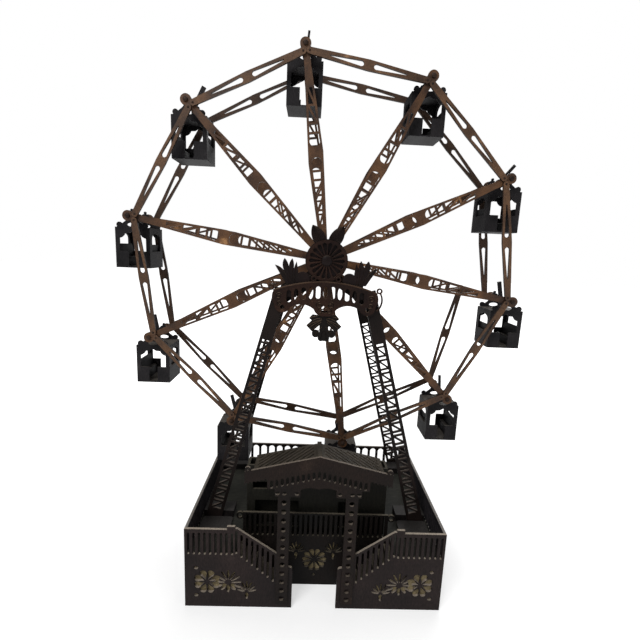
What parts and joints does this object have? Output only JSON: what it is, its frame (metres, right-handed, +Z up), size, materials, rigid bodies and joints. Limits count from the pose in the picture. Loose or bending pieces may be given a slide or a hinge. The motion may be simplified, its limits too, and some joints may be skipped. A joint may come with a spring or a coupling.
{
  "type": "hand-cranked model ferris wheel",
  "caption": "Tabletop ferris wheel of cut sheet with hanging cabins, lattice towers, a rear crank and a fenced platform with a station front.",
  "frame": {"origin": "on the ground under the middle of the overall box", "axes": "+Z up, -Y towards the station front, +X to the right seen from the front"},
  "size_m": [0.5314, 0.2376, 0.6786],
  "materials": {
    "wheel_brown": "rust-brown stain, satin, fine grain",
    "cabin_charcoal": "charcoal stain, satin",
    "bench_dark": "charcoal stain, satin",
    "frame_dark": "very dark brown stain, satin",
    "deck_grey": "dark grey-brown stain, satin",
    "backing_beige": "bare pale sheet, matte",
    "axle_dark": "dark stained dowel, satin",
    "knob_brown": "turned knob, brown stain, satin"
  },
  "bodies": {
    "stand": {"front_left_leg": "frame_dark", "front_right_leg": "frame_dark", "rear_left_leg": "frame_dark", "rear_right_leg": "frame_dark", "front_head_plate": "frame_dark", "rear_head_plate": "frame_dark", "hub_leaves": "frame_dark", "hub_rosette": "frame_dark", "acanthus_crowns": "frame_dark", "arch_sign": "frame_dark", "sign_scrolls": "frame_dark", "leaf_pendant": "frame_dark", "leg_feet": "frame_dark", "front_walls": "frame_dark", "side_walls": "frame_dark", "rear_wall": "frame_dark", "recess_panel": "frame_dark", "flower_backings": "backing_beige", "platform_deck": "deck_grey", "stairs": "frame_dark", "sign_columns": "frame_dark", "portal_board": "frame_dark", "booth_walls": "frame_dark", "canopy_roof": "deck_grey"},
    "wheel": {"front_spokes": "wheel_brown", "rear_spokes": "wheel_brown", "front_rim_beams": "wheel_brown", "rear_rim_beams": "wheel_brown", "loose_rim_beam": "wheel_brown", "cabin_axles": "axle_dark", "cabin_spacers": "axle_dark", "front_hub_flange": "wheel_brown", "rear_hub_flange": "wheel_brown", "hub_barrel": "wheel_brown", "axle_spacers": "axle_dark", "main_axle": "axle_dark", "crank_arm": "frame_dark", "crank_pin": "axle_dark"},
    "knob": {"crank_knob": "knob_brown"},
    "cabin_01": {"cabin_01_box": "cabin_charcoal", "cabin_01_benches": "bench_dark"},
    "cabin_02": {"cabin_02_box": "cabin_charcoal", "cabin_02_benches": "bench_dark"},
    "cabin_03": {"cabin_03_box": "cabin_charcoal", "cabin_03_benches": "bench_dark"},
    "cabin_04": {"cabin_04_box": "cabin_charcoal", "cabin_04_benches": "bench_dark"},
    "cabin_05": {"cabin_05_box": "cabin_charcoal", "cabin_05_benches": "bench_dark"},
    "cabin_06": {"cabin_06_box": "cabin_charcoal", "cabin_06_benches": "bench_dark"},
    "cabin_07": {"cabin_07_box": "cabin_charcoal", "cabin_07_benches": "bench_dark"},
    "cabin_08": {"cabin_08_box": "cabin_charcoal", "cabin_08_benches": "bench_dark"},
    "cabin_09": {"cabin_09_box": "cabin_charcoal", "cabin_09_benches": "bench_dark"},
    "cabin_10": {"cabin_10_box": "cabin_charcoal", "cabin_10_benches": "bench_dark"}
  },
  "joints": [
    {"name": "wheel_spin", "type": "hinge", "parent": "stand", "child": "wheel", "pos_m": [0, 0.0192, 0.4045], "axis": [0, 1, 0], "continuous": true},
    {"name": "cabin_01_swing", "type": "hinge", "parent": "wheel", "child": "cabin_01", "pos_m": [0.22309, 0.0192, 0.51283], "axis": [0, 1, 0], "continuous": true},
    {"name": "cabin_02_swing", "type": "hinge", "parent": "wheel", "child": "cabin_02", "pos_m": [0.11681, 0.0192, 0.62327], "axis": [0, 1, 0], "continuous": true},
    {"name": "cabin_03_swing", "type": "hinge", "parent": "wheel", "child": "cabin_03", "pos_m": [-0.03409, 0.0192, 0.65015], "axis": [0, 1, 0], "continuous": true},
    {"name": "cabin_04_swing", "type": "hinge", "parent": "wheel", "child": "cabin_04", "pos_m": [-0.17196, 0.0192, 0.5832], "axis": [0, 1, 0], "continuous": true},
    {"name": "cabin_05_swing", "type": "hinge", "parent": "wheel", "child": "cabin_05", "pos_m": [-0.24416, 0.0192, 0.44799], "axis": [0, 1, 0], "continuous": true},
    {"name": "cabin_06_swing", "type": "hinge", "parent": "wheel", "child": "cabin_06", "pos_m": [-0.22309, 0.0192, 0.29617], "axis": [0, 1, 0], "continuous": true},
    {"name": "cabin_07_swing", "type": "hinge", "parent": "wheel", "child": "cabin_07", "pos_m": [-0.11681, 0.0192, 0.18573], "axis": [0, 1, 0], "continuous": true},
    {"name": "cabin_08_swing", "type": "hinge", "parent": "wheel", "child": "cabin_08", "pos_m": [0.03409, 0.0192, 0.15885], "axis": [0, 1, 0], "continuous": true},
    {"name": "cabin_09_swing", "type": "hinge", "parent": "wheel", "child": "cabin_09", "pos_m": [0.17196, 0.0192, 0.2258], "axis": [0, 1, 0], "continuous": true},
    {"name": "cabin_10_swing", "type": "hinge", "parent": "wheel", "child": "cabin_10", "pos_m": [0.24416, 0.0192, 0.36101], "axis": [0, 1, 0], "continuous": true},
    {"name": "knob_spin", "type": "hinge", "parent": "wheel", "child": "knob", "pos_m": [-0.00324, 0.1058, 0.37367], "axis": [0, 1, 0], "continuous": true}
  ],
  "couplings": [
    {"joint": "cabin_01_swing", "follows": "wheel_spin", "ratio": -1},
    {"joint": "cabin_02_swing", "follows": "wheel_spin", "ratio": -1},
    {"joint": "cabin_03_swing", "follows": "wheel_spin", "ratio": -1},
    {"joint": "cabin_04_swing", "follows": "wheel_spin", "ratio": -1},
    {"joint": "cabin_05_swing", "follows": "wheel_spin", "ratio": -1},
    {"joint": "cabin_06_swing", "follows": "wheel_spin", "ratio": -1},
    {"joint": "cabin_07_swing", "follows": "wheel_spin", "ratio": -1},
    {"joint": "cabin_08_swing", "follows": "wheel_spin", "ratio": -1},
    {"joint": "cabin_09_swing", "follows": "wheel_spin", "ratio": -1},
    {"joint": "cabin_10_swing", "follows": "wheel_spin", "ratio": -1}
  ]
}
